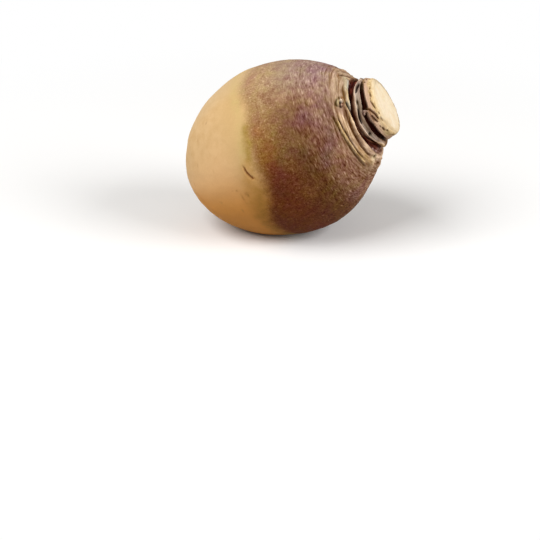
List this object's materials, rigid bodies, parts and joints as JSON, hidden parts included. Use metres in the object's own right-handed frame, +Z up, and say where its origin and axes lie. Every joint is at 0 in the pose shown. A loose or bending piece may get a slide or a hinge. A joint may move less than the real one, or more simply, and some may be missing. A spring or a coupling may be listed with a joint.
{
  "type": "rutabaga",
  "caption": "Whole rutabaga root lying on its side, cream at the tail and purple at the shoulder, with ringed leaf scars on a short neck cut flat.",
  "frame": {"origin": "middle of the flat spot on the underside that the root rests on, at floor level", "axes": "+Z up; the root's own axis lies in the XZ plane and rises 25 degrees towards +X, where the cut neck is, so the trimmed taproot is at -X; -Y is the side with the clearest leaf scars"},
  "size_m": [0.1309, 0.1043, 0.1061],
  "materials": {
    "root": "smooth waxy root skin: cream at the tail, mottled purple and olive at the shoulder, tan ridges with dark folds at the neck, matt cream cut face"
  },
  "bodies": {
    "root": {"rutabaga_root": "root"}
  },
  "joints": []
}
